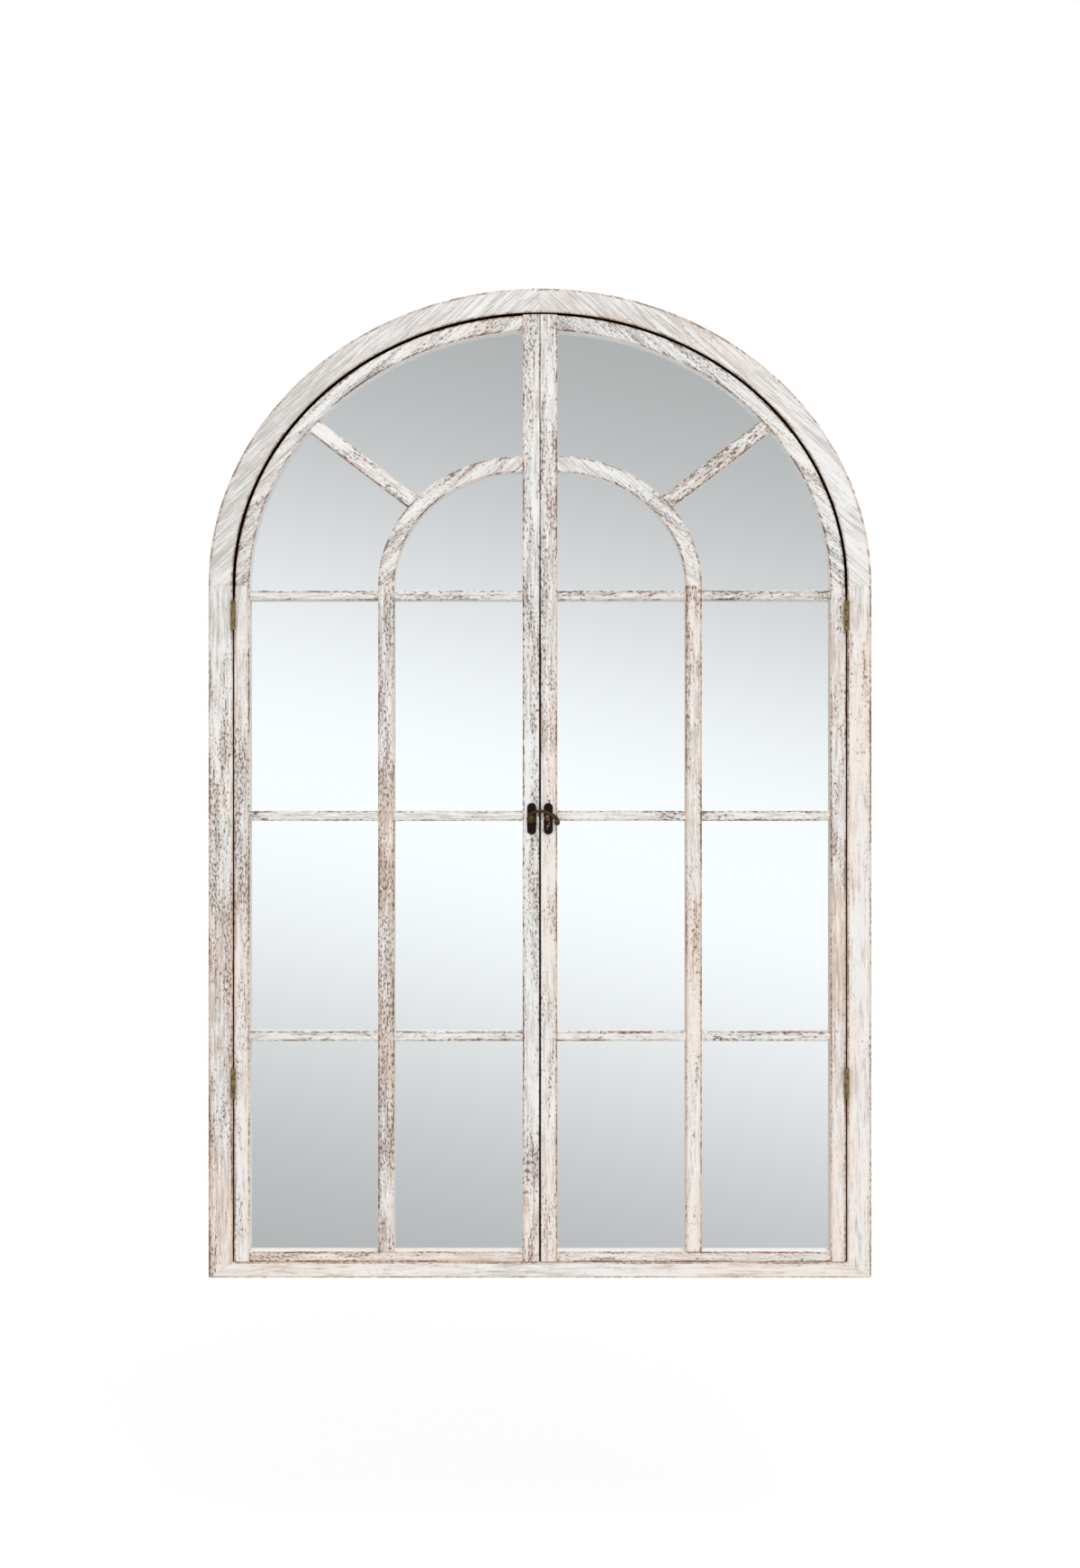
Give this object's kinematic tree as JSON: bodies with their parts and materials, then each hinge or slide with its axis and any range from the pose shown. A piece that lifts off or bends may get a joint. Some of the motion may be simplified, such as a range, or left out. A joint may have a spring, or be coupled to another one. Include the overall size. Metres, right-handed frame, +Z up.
{
  "type": "arched window mirror",
  "caption": "Wall mirror in the form of an arched window: whitewashed wooden frame with hinged mirrored doors, glazing bars and a hook latch.",
  "frame": {"origin": "midway between the entry holes of the two keyhole hanger plates, on the wall plane", "axes": "+Z up along the height, +Y from the front towards the wall, +X to the right as seen from the front"},
  "size_m": [0.6088, 0.0367, 0.9083],
  "materials": {
    "whitewashed_wood": "whitewashed and distressed",
    "mirror_glass": "silvered float glass",
    "panel_board": "plain fibreboard",
    "dowel_wood": "plain hardwood",
    "hinge_brass": "antique",
    "latch_bronze": "dark antique bronze",
    "zinc_steel": "zinc plated"
  },
  "bodies": {
    "frame": {"frame_arch_left": "whitewashed_wood", "frame_arch_right": "whitewashed_wood", "frame_stile_left": "whitewashed_wood", "frame_stile_right": "whitewashed_wood", "frame_bottom_rail": "whitewashed_wood", "frame_dowels": "dowel_wood", "back_panel": "panel_board", "back_panel_screws": "zinc_steel", "hanger_plate_left": "zinc_steel", "hanger_plate_right": "zinc_steel", "hanger_screws": "zinc_steel", "hinge_leaf_frame_left_upper": "hinge_brass", "hinge_leaf_frame_left_lower": "hinge_brass", "hinge_leaf_frame_right_upper": "hinge_brass", "hinge_leaf_frame_right_lower": "hinge_brass", "hinge_pins": "hinge_brass", "hinge_frame_screws": "hinge_brass"},
    "left_door": {"left_hinge_stile": "whitewashed_wood", "left_arch_rail": "whitewashed_wood", "left_meeting_stile": "whitewashed_wood", "left_bottom_rail": "whitewashed_wood", "left_mullion": "whitewashed_wood", "left_inner_arch": "whitewashed_wood", "left_spoke": "whitewashed_wood", "left_bar_upper": "whitewashed_wood", "left_bar_middle": "whitewashed_wood", "left_bar_lower": "whitewashed_wood", "left_door_dowels": "dowel_wood", "left_mirror": "mirror_glass", "left_backing_board": "panel_board", "left_backing_brads": "zinc_steel", "left_hinge_screws": "hinge_brass", "hinge_leaf_door_left_upper": "hinge_brass", "hinge_leaf_door_left_lower": "hinge_brass", "latch_base_plate": "latch_bronze", "latch_rivet": "latch_bronze", "latch_base_screws": "latch_bronze"},
    "right_door": {"right_hinge_stile": "whitewashed_wood", "right_arch_rail": "whitewashed_wood", "right_meeting_stile": "whitewashed_wood", "right_bottom_rail": "whitewashed_wood", "right_mullion": "whitewashed_wood", "right_inner_arch": "whitewashed_wood", "right_spoke": "whitewashed_wood", "right_bar_upper": "whitewashed_wood", "right_bar_middle": "whitewashed_wood", "right_bar_lower": "whitewashed_wood", "right_door_dowels": "dowel_wood", "right_mirror": "mirror_glass", "right_backing_board": "panel_board", "right_backing_brads": "zinc_steel", "right_hinge_screws": "hinge_brass", "hinge_leaf_door_right_upper": "hinge_brass", "hinge_leaf_door_right_lower": "hinge_brass", "catch_plate": "latch_bronze", "catch_post": "latch_bronze", "catch_screws": "latch_bronze"},
    "latch_hook": {"latch_hook": "latch_bronze"}
  },
  "joints": [
    {"name": "left_door_hinge", "type": "hinge", "parent": "frame", "child": "left_door", "pos_m": [-0.2814, -0.0324, -0.1967], "axis": [0, 0, -1], "range_deg": [0, 180]},
    {"name": "right_door_hinge", "type": "hinge", "parent": "frame", "child": "right_door", "pos_m": [0.2814, -0.0324, -0.1967], "axis": [0, 0, 1], "range_deg": [0, 180]},
    {"name": "latch_hook_pivot", "type": "hinge", "parent": "left_door", "child": "latch_hook", "pos_m": [-0.0083, -0.0323, -0.16853], "axis": [0, -1, 0], "range_deg": [0, 305]}
  ]
}
